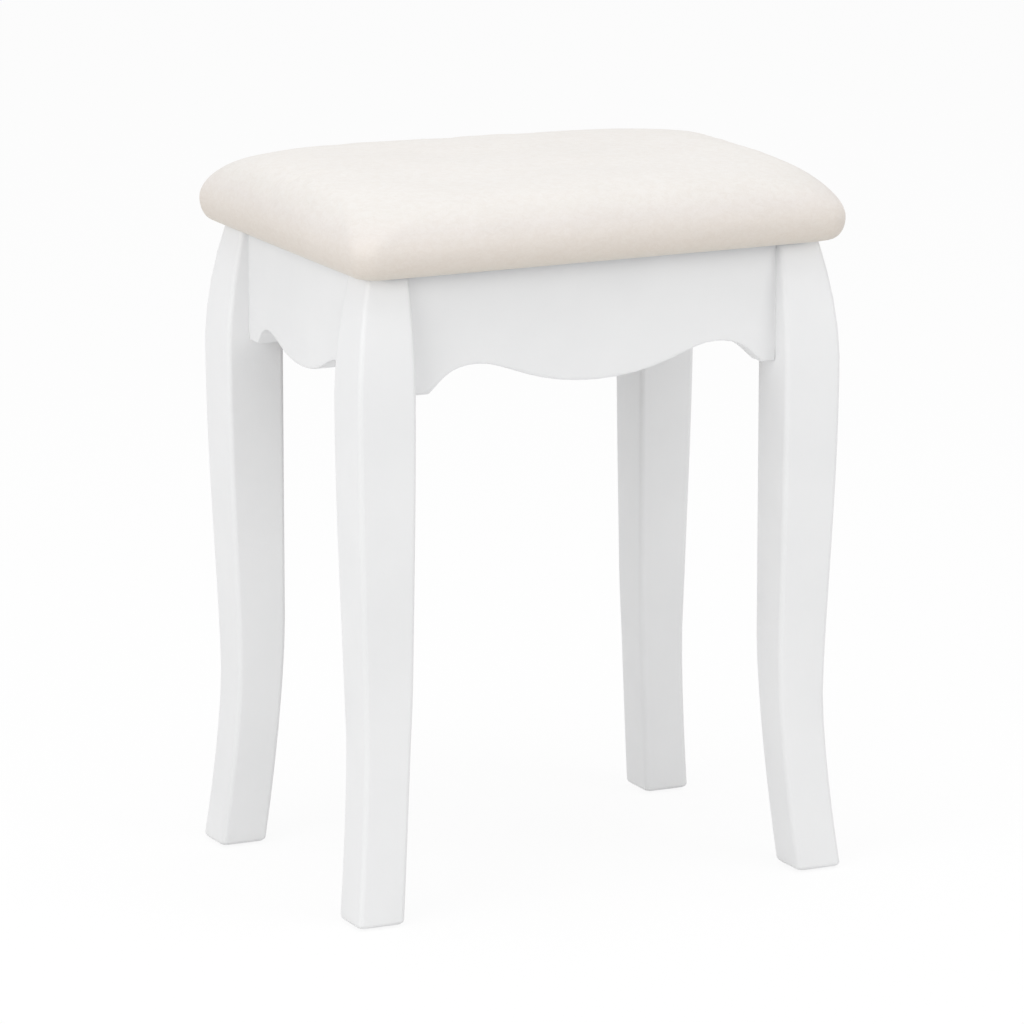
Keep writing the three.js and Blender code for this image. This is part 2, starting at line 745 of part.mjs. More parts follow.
function corner(front, left) {
  const place = `${front ? 'front' : 'back'}_${left ? 'left' : 'right'}`;
  const group = new THREE.Group();
  group.position.set(left ? -cornerX : cornerX, front ? -cornerY : cornerY, 0);
  group.rotation.z = front ? 0 : Math.PI;
  const mirrored = front !== left;
  const hand = mirrored ? -1 : 1;
  const shapes = mirrored ? rightHanded : leftHanded;
  group.add(piece(`leg_${place}`, shapes.leg, paint));
  group.add(piece(`corner_block_${place}`, shapes.block, rawWood));

  const bolt = new THREE.Group();
  bolt.position.z = boltHeight;
  bolt.rotation.z = hand > 0 ? Math.PI / 4 : Math.PI * 0.75;
  for (const [name, geometry, distance] of [
    ['hanger_bolt', hangerBoltGeometry(), boltStartDistance],
    ['washer', washerGeometry(), washerStart],
    ['nut', nutGeometry(), nutStart],
  ]) {
    const part = piece(`${name}_${place}`, geometry, zinc);
    part.rotation.y = Math.PI / 2;
    part.position.x = distance;
    bolt.add(part);
  }
  group.add(bolt);

  const long = front ? 'front' : 'back';
  const side = left ? 'left' : 'right';
  const dowelMiddle = legStep + (dowelInApron - dowelInLeg) / 2;
  ['lower', 'upper'].forEach((level, k) => {
    const inLong = piece(`${long}_apron_dowel_${side}_${level}`, dowelGeometry('x'), rawWood);
    inLong.position.set(hand * dowelMiddle, -apronThickness / 2, dowelHeights(longDowelHeightShares)[k]);
    const inSide = piece(`${side}_apron_dowel_${long}_${level}`, dowelGeometry('y'), rawWood);
    const middle = hand * (-apronThickness / 2);
    inSide.position.set(middle, dowelMiddle, dowelHeights(sideDowelHeightShares)[k]);
    group.add(inLong, inSide);
  });

  const seatScrewLength = boardBottom + seatScrewInBoard - (blockTop - blockHeight - seatGap);
  const seatScrew = piece(
    `seat_screw_${place}`,
    screwGeometry(seatScrewRadius, seatScrewHeadRadius, seatScrewHeadHeight, seatScrewLength),
    zinc,
  );
  seatScrew.position.set(hand * seatScrewAlong, seatScrewAcross, blockTop - blockHeight - seatGap);
  group.add(seatScrew);

  const blockScrewLength = blockScrewSeat + seatGap + blockScrewInApron;
  const blockScrew = screwGeometry(
    blockScrewRadius,
    blockScrewHeadRadius,
    blockScrewHeadHeight,
    blockScrewLength,
  );
  const toLong = piece(`block_screw_${place}_to_${long}`, blockScrew, zinc);
  toLong.rotation.x = Math.PI / 2;
  toLong.position.set(hand * blockScrewAlong, blockScrewSeat + seatGap, boltHeight);
  const toSide = piece(`block_screw_${place}_to_${side}`, blockScrew, zinc);
  toSide.rotation.y = -hand * (Math.PI / 2);
  toSide.position.set(hand * (blockScrewSeat + seatGap), blockScrewAlong, boltHeight);
  group.add(toLong, toSide);

  const footMiddle = -apronInner - footSpread + footSquare / 2;
  const floorPad = piece(`floor_pad_${place}`, floorPadGeometry(), felt);
  floorPad.position.set(hand * footMiddle, footMiddle, 0);
  group.add(floorPad);
  return group;
}

for (const front of [true, false]) {
  for (const left of [true, false]) {
    stool.add(corner(front, left));
  }
}

export default stool;
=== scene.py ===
# Looks of an upholstered vanity stool: white satin painted legs and aprons, a stuffed
# seat in cream velvet, and the board, blocks and fasteners under it. Metres, +Z up.
import math

import bmesh
import bpy
import numpy as np
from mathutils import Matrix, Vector, noise


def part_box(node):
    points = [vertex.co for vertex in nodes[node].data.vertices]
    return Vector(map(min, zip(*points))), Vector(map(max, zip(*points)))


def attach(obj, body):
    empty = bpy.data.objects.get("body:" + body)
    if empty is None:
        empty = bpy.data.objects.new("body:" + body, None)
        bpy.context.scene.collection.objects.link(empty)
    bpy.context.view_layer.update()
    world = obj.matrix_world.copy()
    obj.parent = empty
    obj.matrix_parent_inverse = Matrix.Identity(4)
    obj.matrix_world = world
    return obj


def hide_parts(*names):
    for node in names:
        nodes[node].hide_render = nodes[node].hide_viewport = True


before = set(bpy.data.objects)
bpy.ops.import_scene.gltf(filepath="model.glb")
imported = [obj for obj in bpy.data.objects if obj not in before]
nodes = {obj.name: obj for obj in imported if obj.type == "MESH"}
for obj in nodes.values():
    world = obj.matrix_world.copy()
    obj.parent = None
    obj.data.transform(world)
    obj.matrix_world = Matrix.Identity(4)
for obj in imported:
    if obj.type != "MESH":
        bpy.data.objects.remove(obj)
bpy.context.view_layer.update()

scene = bpy.context.scene
MM = 0.001
# The clearance that the CAD leaves between pieces
GAP = 0.3 * MM

# Camera: the photograph's viewing angle, in a frame of 1024 by 1024
CAM_FOCAL_PIXELS = 6700
CAM_FRAME_PIXELS = 1024
CAM_SENSOR = 36
CAM_AZIMUTH = math.radians(-25.731)
CAM_ELEVATION = math.radians(12.768)
CAM_DISTANCE = 4.222044
CAM_TARGET = Vector((-5.492 * MM, 0, 223.09 * MM))
CAM_CLIP = (0.05, 100)


def aim(obj, azimuth, elevation, distance):
    """Link a camera or lamp, placed round the stool's middle and facing it."""
    flat = math.cos(elevation)
    back = Vector((math.sin(azimuth) * flat, -math.cos(azimuth) * flat, math.sin(elevation)))
    scene.collection.objects.link(obj)
    obj.location = CAM_TARGET + back * distance
    obj.rotation_mode = "QUATERNION"
    obj.rotation_quaternion = (-back).to_track_quat("-Z", "Y")


def add_camera():
    data = bpy.data.cameras.new("camera")
    data.sensor_width = CAM_SENSOR
    data.lens = CAM_SENSOR * CAM_FOCAL_PIXELS / CAM_FRAME_PIXELS
    data.clip_start, data.clip_end = CAM_CLIP
    camera = bpy.data.objects.new("camera", data)
    aim(camera, CAM_AZIMUTH, CAM_ELEVATION, CAM_DISTANCE)
    scene.camera = camera


# Node trees
def bare_tree(owner):
    owner.use_nodes = True
    owner.node_tree.nodes.clear()
    return owner.node_tree


def put(tree, kind, inputs=None, **settings):
    """A new node. An input that is given a socket is linked, any other is set."""
    node = tree.nodes.new(kind)
    for key, value in settings.items():
        setattr(node, key, value)
    for key, value in (inputs or {}).items():
        if isinstance(value, bpy.types.NodeSocket):
            tree.links.new(value, node.inputs[key])
        else:
            node.inputs[key].default_value = value
    return node


def feed(tree, shader, sources):
    for socket, source in sources.items():
        tree.links.new(source, shader.inputs[socket])


def combine(tree, operation, a, b):
    return put(tree, "ShaderNodeMath", {0: a, 1: b}, operation=operation).outputs[0]


def multiply(tree, factor, a, b):
    """Colour a, deepened by colour b."""
    inputs = {0: factor, 6: a, 7: b}
    return put(tree, "ShaderNodeMix", inputs, data_type="RGBA", blend_type="MULTIPLY").outputs[2]


def mix_shaders(tree, factor, a, b):
    return put(tree, "ShaderNodeMixShader", {0: factor, 1: a, 2: b}).outputs[0]


# Materials. Texture scales count features to the metre, before any stretch.
WHITE = (1, 1, 1)
# Nearly all of a noise texture's values lie between these
NOISE_LOW = 0.3
NOISE_HIGH = 0.7


def new_look(name, fixed):
    mat = bpy.data.materials.new(name)
    tree = bare_tree(mat)
    shader = put(tree, "ShaderNodeBsdfPrincipled", fixed)
    put(tree, "ShaderNodeOutputMaterial", {"Surface": shader.outputs["BSDF"]})
    return mat, tree, shader


def place(tree, stretch=(1, 1, 1), turn=0.0):
    """The object's own coordinates, turned about Z and stretched."""
    coords = put(tree, "ShaderNodeTexCoord")
    turned = put(tree, "ShaderNodeMapping", {
        "Vector": coords.outputs["Object"],
        "Rotation": (0, 0, turn),
    })
    stretched = put(tree, "ShaderNodeMapping", {
        "Vector": turned.outputs["Vector"],
        "Scale": stretch,
    })
    return stretched.outputs["Vector"]


def grain(tree, where, scale, detail=2.0, rough=0.5, warp=0.0):
    node = put(tree, "ShaderNodeTexNoise", {
        "Vector": where,
        "Scale": scale,
        "Detail": detail,
        "Roughness": rough,
        "Distortion": warp,
    })
    return node.outputs["Fac"]


def ramp(tree, factor, stops):
    node = put(tree, "ShaderNodeValToRGB", {"Fac": factor})
    elements = node.color_ramp.elements
    while len(elements) < len(stops):
        elements.new(1)
    for element, (position, colour) in zip(elements, stops):
        element.position = position
        element.color = (*colour, 1)
    return node.outputs["Color"]


def span(tree, factor, low, high, start=NOISE_LOW, stop=NOISE_HIGH):
    """Low where the factor is at start, high where it is at stop."""
    node = put(tree, "ShaderNodeMapRange", {
        "Value": factor,
        "From Min": start,
        "From Max": stop,
        "To Min": low,
        "To Max": high,
    })
    return node.outputs["Result"]


def bump(tree, height, depth, strength, under=None):
    inputs = {"Height": height, "Distance": depth, "Strength": strength}
    if under is not None:
        inputs["Normal"] = under
    return put(tree, "ShaderNodeBump", inputs).outputs["Normal"]


def paint_look(name, stretch):
    """Sprayed satin white with a faint peel and the ghost of the grain under it."""
    mat, tree, shader = new_look(name, {"Specular IOR Level": 0.5})
    thin = (0.815, 0.818, 0.822)
    full = (0.84, 0.842, 0.845)
    where = place(tree)
    ghost = grain(tree, place(tree, stretch), 1, detail=3, rough=0.6)
    peel = grain(tree, where, 520, detail=1)
    feed(tree, shader, {
        "Base Color": ramp(tree, grain(tree, where, 14, detail=3), [(0.35, thin), (0.65, full)]),
        "Roughness": span(tree, grain(tree, where, 60, detail=3), 0.36, 0.5),
        "Normal": bump(tree, peel, 0.06 * MM, 0.6, bump(tree, ghost, 0.12 * MM, 0.5)),
    })
    return mat


def wood_look(name, stretch, turn, tones):
    """Planed wood: growth bands, streaks along the grain and open pores."""
    mat, tree, shader = new_look(name, {"Specular IOR Level": 0.35})
    pore = (0.62, 0.55, 0.5)
    along = place(tree, stretch, turn)
    bands = put(tree, "ShaderNodeTexWave", {
        "Vector": along,
        "Scale": 0.9,
        "Distortion": 5.0,
        "Detail": 3.0,
        "Detail Scale": 1.2,
    }, bands_direction="Y").outputs["Fac"]
    streaks = grain(tree, along, 3.2, detail=6, rough=0.65)
    pores = grain(tree, along, 16, detail=4, rough=0.8)
    banded = combine(tree, "MULTIPLY", bands, streaks)
    wood = ramp(tree, banded, list(zip((0.05, 0.35, 0.7), tones)))
    pitted = ramp(tree, pores, [(0.32, pore), (0.46, WHITE)])
    feed(tree, shader, {
        "Base Color": multiply(tree, 0.7, wood, pitted),
        "Roughness": span(tree, streaks, 0.55, 0.78),
        "Normal": bump(tree, pores, 0.2 * MM, 0.5, bump(tree, streaks, 0.2 * MM, 0.5)),
    })
    return mat


# Painted shade on the velvet: its colour is darker and warmer at the pad's lower edge and fades
# out over this height above it
LYING_RISE = 44 * MM
PAINTED_SHADE_TONES = [
    (0.0, (0.865, 0.835, 0.777)),
    (0.14, (0.902, 0.853, 0.8)),
    (0.41, (0.946, 0.909, 0.876)),
    (0.64, (0.95, 0.93, 0.923)),
    (0.85, (0.97, 0.967, 0.962)),
    (1.0, WHITE),
]


def velvet_look():
    """Short cream pile: brushed patches, faint mottling and single fibres. Painted shade makes it
    darker and warmer towards the pad's lower edge, round the pad's side."""
    mat, tree, shader = new_look("velvet_cream", {
        "Roughness": 0.92,
        "Specular IOR Level": 0.18,
        "Sheen Weight": 0.3,
        "Sheen Roughness": 0.5,
        "Sheen Tint": (1.0, 0.99, 0.975, 1),
    })
    pale = (0.82, 0.797, 0.772)
    deep = (0.792, 0.76, 0.727)
    brushed = (0.982, 0.979, 0.975)
    parted = (0.965, 0.962, 0.958)
    where = place(tree)
    lean = place(tree, (1.0, 1.0, 1.7), 0.5)
    patches = grain(tree, where, 13, warp=0.4)
    crushed = grain(tree, lean, 210, detail=4, rough=0.62, warp=0.9)
    fibres = grain(tree, lean, 1500, rough=0.7)
    height = put(tree, "ShaderNodeSeparateXYZ", {"Vector": where}).outputs["Z"]
    rise = span(tree, height, 0, 1, PAD_BOTTOM, PAD_BOTTOM + LYING_RISE)
    colour = ramp(tree, crushed, [(0.34, deep), (0.62, pale)])
    for factor, stops in (
        (patches, [(0.35, brushed), (0.65, WHITE)]),
        (fibres, [(0.3, parted), (0.6, WHITE)]),
        # painted shade: darker and warmer towards the pad's lower edge
        (rise, PAINTED_SHADE_TONES),
    ):
        colour = multiply(tree, 1.0, colour, ramp(tree, factor, stops))
    feed(tree, shader, {
        "Base Color": colour,
        "Normal": bump(tree, fibres, 0.2 * MM, 0.4, bump(tree, crushed, 0.5 * MM, 0.2)),
    })
    return mat


def foam_look():
    mat, tree, shader = new_look("foam_cells", {"Roughness": 1.0, "Specular IOR Level": 0.1})
    yellowed = (0.78, 0.70, 0.44)
    fresh = (0.85, 0.78, 0.52)
    where = place(tree)
    cells = put(tree, "ShaderNodeTexVoronoi", {"Vector": where, "Scale": 900.0})
    tone = grain(tree, where, 30, detail=3)
    feed(tree, shader, {
        "Base Color": ramp(tree, tone, [(0.3, yellowed), (0.7, fresh)]),
        "Normal": bump(tree, cells.outputs["Distance"], 0.6 * MM, 0.7),
    })
    return mat


def nonwoven_look():
    """Black spun-bonded cloth: matted fibres and a grid of tiny bonding dimples."""
    mat, tree, shader = new_look("nonwoven_black", {"Roughness": 0.88, "Specular IOR Level": 0.25})
    black = (0.014, 0.014, 0.016)
    grey = (0.05, 0.05, 0.054)
    dimples = put(tree, "ShaderNodeTexVoronoi", {
        "Vector": place(tree),
        "Scale": 620.0,
        "Randomness": 0.15,
    })
    matted = place(tree, (1, 0.35, 1), 0.7)
    fibres = grain(tree, matted, 1400, detail=3, rough=0.7, warp=1.5)
    pressed = bump(tree, dimples.outputs["Distance"], 0.3 * MM, 0.6)
    feed(tree, shader, {
        "Base Color": ramp(tree, fibres, [(0.35, black), (0.62, grey)]),
        "Normal": bump(tree, fibres, 0.2 * MM, 0.6, pressed),
    })
    return mat


def felt_look():
    mat, tree, shader = new_look("felt_pale", {"Roughness": 1.0, "Specular IOR Level": 0.1})
    dark = (0.55, 0.54, 0.51)
    light = (0.74, 0.73, 0.70)
    fibres = grain(tree, place(tree), 1100, detail=4, rough=0.75, warp=1.2)
    feed(tree, shader, {
        "Base Color": ramp(tree, fibres, [(0.3, dark), (0.7, light)]),
        "Normal": bump(tree, fibres, 0.5 * MM, 0.7),
    })
    return mat


def zinc_look():
    """Bright zinc plate: faint spangle, handling marks and a broken gloss."""
    mat, tree, shader = new_look("zinc_plate", {"Metallic": 1.0})
    dull = (0.55, 0.57, 0.60)
    bright = (0.72, 0.73, 0.74)
    where = place(tree)
    spangle = grain(tree, where, 700)
    marks = grain(tree, where, 160, detail=4, rough=0.7, warp=0.5)
    feed(tree, shader, {
        "Base Color": ramp(tree, spangle, [(0.3, dull), (0.7, bright)]),
        "Roughness": span(tree, marks, 0.24, 0.46),
        "Normal": bump(tree, marks, 0.05 * MM, 0.4),
    })
    return mat


def plywood_look():
    """Birch plywood: a grained face, and the plies as bands on its edges."""
    mat, tree, shader = new_look("birch_plywood", {"Roughness": 0.7, "Specular IOR Level": 0.3})
    end_ply = (0.55, 0.38, 0.23)
    long_ply = (0.80, 0.63, 0.43)
    streak = (0.80, 0.76, 0.70)
    plies = put(tree, "ShaderNodeTexWave", {
        "Vector": place(tree),
        "Scale": 190.0,
    }, bands_direction="Z")
    streaks = grain(tree, place(tree, (6, 140, 140)), 1, detail=5, rough=0.65)
    ply = ramp(tree, plies.outputs["Fac"], [(0.35, end_ply), (0.6, long_ply)])
    face = ramp(tree, streaks, [(0.3, streak), (0.7, WHITE)])
    feed(tree, shader, {
        "Base Color": multiply(tree, 0.8, ply, face),
        "Normal": bump(tree, streaks, 0.2 * MM, 0.5),
    })
    return mat


# Smooth shading of the rigid nodes: their facets are welded for display, and edges
# sharper than the limit stay crisp.
WELD = 0.02 * MM
CRISP_ANGLE = math.radians(38)
LARGE_FACES_LEAD = 100


def soft_edges():
    group = bpy.data.node_groups.new("soft_edges", "GeometryNodeTree")
    for way in ("INPUT", "OUTPUT"):
        group.interface.new_socket("Geometry", in_out=way, socket_type="NodeSocketGeometry")

    def step(kind, shape, inputs, **settings):
        return put(group, kind, {"Geometry": shape, **inputs}, **settings).outputs["Geometry"]

    shape = put(group, "NodeGroupInput").outputs["Geometry"]
    shape = step("GeometryNodeRemoveAttribute", shape, {"Name": "custom_normal"})
    shape = step("GeometryNodeMergeByDistance", shape, {"Distance": WELD})
    for domain in ("FACE", "EDGE"):
        shape = step("GeometryNodeSetShadeSmooth", shape, {"Shade Smooth": True}, domain=domain)
    angle = put(group, "GeometryNodeInputMeshEdgeAngle")
    steep = put(group, "FunctionNodeCompare", {
        0: angle.outputs["Unsigned Angle"],
        1: CRISP_ANGLE,
    }, data_type="FLOAT", operation="GREATER_THAN")
    crisp = {"Selection": steep.outputs[0], "Shade Smooth": False}
    shape = step("GeometryNodeSetShadeSmooth", shape, crisp, domain="EDGE")
    put(group, "NodeGroupOutput", {"Geometry": shape})
    return group


def smooth(obj, group):
    obj.modifiers.new("soft_edges", "NODES").node_group = group
    weighted = obj.modifiers.new("even_normals", "WEIGHTED_NORMAL")
    weighted.keep_sharp = True
    weighted.weight = LARGE_FACES_LEAD


# Meshes
def walls(count, levels):
    """Quads between rings of count points that follow each other."""
    faces = []
    for r in range(levels - 1):
        for k in range(count):
            a = r * count + k
            b = r * count + (k + 1) % count
            faces.append((a, b, b + count, a + count))
    return faces


def capped(count, levels):
    """Walls between rings, and a face over each end."""
    last = (levels - 1) * count
    ends = [tuple(reversed(range(count))), tuple(range(last, last + count))]
    return walls(count, levels) + ends


def filled(verts, rim, across, deep):
    """Adds a grid of points inside a ring of 2 (across + deep) points; returns its quads."""
    count = 2 * (across + deep)
    grid = {}
    for i in range(across + 1):
        grid[i, 0] = rim + i
        grid[i, deep] = rim + across + deep + (across - i)
    for j in range(deep + 1):
        grid[across, j] = rim + across + j
        grid[0, j] = rim + (2 * across + deep + (deep - j)) % count
    edge = {key: np.array(verts[index]) for key, index in grid.items()}
    for i in range(1, across):
        for j in range(1, deep):
            u = i / across
            v = j / deep
            sides = ((1 - v) * edge[i, 0] + v * edge[i, deep]
                     + (1 - u) * edge[0, j] + u * edge[across, j])
            ends = ((1 - u) * (1 - v) * edge[0, 0] + u * (1 - v) * edge[across, 0]
                    + (1 - u) * v * edge[0, deep] + u * v * edge[across, deep])
            grid[i, j] = len(verts)
            verts.append(tuple(sides - ends))
    return [
        (grid[i, j], grid[i + 1, j], grid[i + 1, j + 1], grid[i, j + 1])
        for i in range(across)
        for j in range(deep)
    ]


def add_form(verts, faces, more_verts, more_faces):
    first = len(verts)
    verts += more_verts
    faces += [tuple(first + k for k in face) for face in more_faces]


def mesh_object(name, verts, faces):
    mesh = bpy.data.meshes.new(name)
    mesh.from_pydata([tuple(p) for p in verts], [], faces)
    mesh.update()
    obj = bpy.data.objects.new(name, mesh)
    scene.collection.objects.link(obj)
    return obj


def coordinates(mesh):
    flat = np.zeros(len(mesh.vertices) * 3)
    mesh.vertices.foreach_get("co", flat)
    return flat.reshape(-1, 3)


def set_coordinates(mesh, points):
    mesh.vertices.foreach_set("co", points.ravel())
    mesh.update()


def settle(obj):
    """Replace an object's mesh by what its modifiers make of it."""
    graph = bpy.context.evaluated_depsgraph_get()
    made = bpy.data.meshes.new_from_object(obj.evaluated_get(graph))
    obj.modifiers.clear()
    obj.data = made


def finish_piece(obj, look):
    obj.data.materials.clear()
    obj.data.materials.append(look)
    obj.data.polygons.foreach_set("use_smooth", [True] * len(obj.data.polygons))
    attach(obj, "root")


def rigid_piece(name, verts, faces, look):
    """A finished piece of closed forms, their faces turned outward."""
    piece = mesh_object(name, verts, faces)
    bm = bmesh.new()
    bm.from_mesh(piece.data)
    bmesh.ops.recalc_face_normals(bm, faces=bm.faces)
    bm.to_mesh(piece.data)
    bm.free()
    finish_piece(piece, look)
    return piece


# The seat pad's form: a hem drawn in under the board, a turn out to the widest line just
# over the board, and a shoulder up to the crowned top
cover_low, cover_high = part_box("seat_cover")
board_low, board_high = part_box("seat_board")
HALF_X = cover_high.x
HALF_Y = cover_high.y
PAD_BOTTOM = cover_low.z
WIDEST = board_high.z + GAP
CROWN_RISE = 3.5 * MM
SHOULDER_RISE = cover_high.z - WIDEST - CROWN_RISE
ROLL_UNDER = 8 * MM
ROLL_SAG = 1.1 * MM
HEM = 28 * MM
BOARD_CORNER = 10 * MM
SIDE_CORNER = 14 * MM
SHOULDER_CORNER = 58 * MM
SHOULDER_WIDTH = 22 * MM
CORNER_FALL = 0.24
CORNER_FALL_POWER = 2.2
# How the stuffing lies, above or below an even pad
STUFF_LEVEL = -0.6 * MM
STUFF_ENDS = 3.5 * MM
STUFF_SIDES = -1.5 * MM
STUFF_CORNERS = -3.2 * MM
STUFF_RIGHT = -1.3 * MM
STUFF_TWIST = -1.7 * MM
STUFF_POWER = 1.5
# How finely the pad is divided
ARC_PARTS = 10
SIDE_PARTS_X = 56
SIDE_PARTS_Y = 40
HEM_PARTS = 6
ROLL_PARTS = 5
SHOULDER_PARTS = 10
GRID_X = ARC_PARTS + SIDE_PARTS_X
GRID_Y = ARC_PARTS + SIDE_PARTS_Y


def ring(inset, radius, z, arc=ARC_PARTS, parts_x=SIDE_PARTS_X, parts_y=SIDE_PARTS_Y):
    """A rounded rectangle, counter-clockwise from the middle of its front left corner."""
    hx = HALF_X - inset
    hy = HALF_Y - inset
    half = arc // 2
    points = []
    corners = [(-1, -1), (1, -1), (1, 1), (-1, 1)]

    def on_arc(c, angle):
        sx, sy = corners[c % 4]
        centre = ((hx - radius) * sx, (hy - radius) * sy)
        return (centre[0] + radius * math.cos(angle), centre[1] + radius * math.sin(angle), z)

    for side in range(4):
        middle = math.radians(225 + 90 * side)
        for k in range(half):
            points.append(on_arc(side, middle + k / arc * math.pi / 2))
        start = on_arc(side, middle + math.pi / 4)
        stop = on_arc(side + 1, middle + math.pi / 4)
        parts = parts_x if side % 2 == 0 else parts_y
        for k in range(parts):
            share = k / parts
            points.append(tuple(a + (b - a) * share for a, b in zip(start, stop)))
        for k in range(half):
            points.append(on_arc(side + 1, middle + math.pi / 4 + k / arc * math.pi / 2))
    return points


def stuffing(x, y, share):
    """How much higher the pad's top lies where it is stuffed fuller."""
    u = x / HALF_X
    v = y / HALF_Y
    level = STUFF_LEVEL + STUFF_RIGHT * u + STUFF_TWIST * u * v + STUFF_ENDS * u ** 2
    return (level + STUFF_SIDES * v ** 2 + STUFF_CORNERS * u ** 2 * v ** 2) * share ** STUFF_POWER


def raised(point, inside, crown_rise):
    """Crown the pad over its widest line and pull its corners lower."""
    x, y, z = point
    if z <= WIDEST:
        return point
    flat_x = HALF_X - SHOULDER_WIDTH
    flat_y = HALF_Y - SHOULDER_WIDTH
    crown = max(0.0, 1 - (x / flat_x) ** 2) * max(0.0, 1 - (y / flat_y) ** 2)
    share = min(1.0, (z - WIDEST) / (SHOULDER_RISE - inside))
    fall = 1 - CORNER_FALL * abs(x / HALF_X * y / HALF_Y) ** CORNER_FALL_POWER
    lift = (z - WIDEST + crown_rise * crown * share ** 2) * fall
    return (x, y, WIDEST + lift + stuffing(x, y, share))


def pad_levels(inside, sag=0.0):
    """Rings up the pad's surface, a distance inside it: hem, turn, shoulder. The turn
    hangs lower than the hem by sag."""
    levels = []
    low = PAD_BOTTOM + inside
    for k in range(HEM_PARTS):
        share = k / HEM_PARTS
        inset = ROLL_UNDER + inside + (HEM - inside) * (1 - share)
        levels.append(ring(inset, BOARD_CORNER, low))
    for k in range(ROLL_PARTS + 1):
        angle = k / ROLL_PARTS * math.pi / 2
        inset = inside + ROLL_UNDER * (1 - math.sin(angle))
        radius = BOARD_CORNER + (SIDE_CORNER - inside - BOARD_CORNER) * math.sin(angle)
        levels.append(ring(inset, radius, WIDEST - (WIDEST - low + sag) * math.cos(angle)))
    for k in range(1, SHOULDER_PARTS + 1):
        angle = k / SHOULDER_PARTS * math.pi / 2
        across = 1 - math.cos(angle)
        radius = SIDE_CORNER - inside + (SHOULDER_CORNER - SIDE_CORNER) * across
        z = WIDEST + (SHOULDER_RISE - inside) * math.sin(angle)
        levels.append(ring(inside + SHOULDER_WIDTH * across, radius, z))
    return levels


# Velvet cover, swelled by cloth simulation over foam that holds it up
START_INSIDE = 0.5 * MM
START_CROWN = 1.5 * MM
SWELL_CAP = 5 * MM
SIM_FRAMES = 20
FOAM_HOLD = 0.1
FOAM_VARIES = 0.4
FOAM_VARIES_SCALE = 25
CLOTH = {
    "quality": 6,
    "mass": 0.05,
    "tension_stiffness": 5,
    "compression_stiffness": 5,
    "shear_stiffness": 1.7,
    "bending_stiffness": 0.5,
    "vertex_group_mass": "held",
    "use_pressure": True,
    "uniform_pressure_force": 4,
}
COVER_THICKNESS = 0.8 * MM
HEM_PAST_BOARD = 0.6 * MM
# Pleats that take up the cloth where it turns under the pad's corners
PLEAT_DEPTH = 1.2 * MM
PLEAT_RISE = 7 * MM
PLEATS = 5


def swell(obj, hem_points):
    """Cloth under pressure, its hem held fast and the rest held softly by the foam.
    Each point's travel is capped."""
    start = coordinates(obj.data)
    held = obj.vertex_groups.new(name="held")
    held.add(list(range(hem_points)), 1.0, "REPLACE")
    for k in range(hem_points, len(start)):
        varied = noise.noise(Vector(start[k]) * FOAM_VARIES_SCALE)
        held.add([k], FOAM_HOLD * (1 + FOAM_VARIES * varied), "REPLACE")
    cloth = obj.modifiers.new("cloth", "CLOTH")
    for key, value in CLOTH.items():
        setattr(cloth.settings, key, value)
    cloth.settings.effector_weights.gravity = 0
    cloth.point_cache.frame_start = 1
    cloth.point_cache.frame_end = SIM_FRAMES
    for number in range(1, SIM_FRAMES + 1):
        scene.frame_set(number)
    graph = bpy.context.evaluated_depsgraph_get()
    swelled = coordinates(obj.evaluated_get(graph).data)
    obj.modifiers.remove(cloth)
    scene.frame_set(1)
    travel = swelled - start
    length = np.linalg.norm(travel, axis=1)
    capped_share = SWELL_CAP * np.tanh(length / SWELL_CAP) / np.maximum(length, 1e-9)
    set_coordinates(obj.data, start + travel * capped_share[:, None])


def draw_flat(mesh):
    """Lay the cloth flat under the board, out to just past the board's edge."""
    points = coordinates(mesh)
    out_x = np.abs(points[:, 0]) - (board_high.x - BOARD_CORNER)
    out_y = np.abs(points[:, 1]) - (board_high.y - BOARD_CORNER)
    round_corner = np.hypot(np.maximum(out_x, 0), np.maximum(out_y, 0))
    past = round_corner + np.minimum(np.maximum(out_x, out_y), 0) - BOARD_CORNER
    under = (past < HEM_PAST_BOARD) & (points[:, 2] < board_low.z)
    points[under, 2] = PAD_BOTTOM
    set_coordinates(mesh, points)


def pleat(mesh):
    """Press small folds into the roll's lower edge, only round the corners."""
    points = coordinates(mesh)
    centre_x = HALF_X - ROLL_UNDER - BOARD_CORNER
    centre_y = HALF_Y - ROLL_UNDER - BOARD_CORNER
    for point in points:
        x, y, z = point
        out_x = abs(x) - centre_x
        out_y = abs(y) - centre_y
        if out_x <= 0 or out_y <= 0 or z > PAD_BOTTOM + PLEAT_RISE:
            continue
        angle = math.atan2(out_y, out_x)
        reach = math.hypot(out_x, out_y) / (BOARD_CORNER + ROLL_UNDER)
        past_board = min(1.0, max(0.0, 2 * reach - 1))
        fade = math.sin(2 * angle) * past_board * (1 - (z - PAD_BOTTOM) / PLEAT_RISE)
        depth = PLEAT_DEPTH * fade * (0.5 - 0.5 * math.cos(4 * PLEATS * angle))
        point[0] -= math.copysign(depth * math.cos(angle), x)
        point[1] -= math.copysign(depth * math.sin(angle), y)
        point[2] += depth / 2
    set_coordinates(mesh, points)


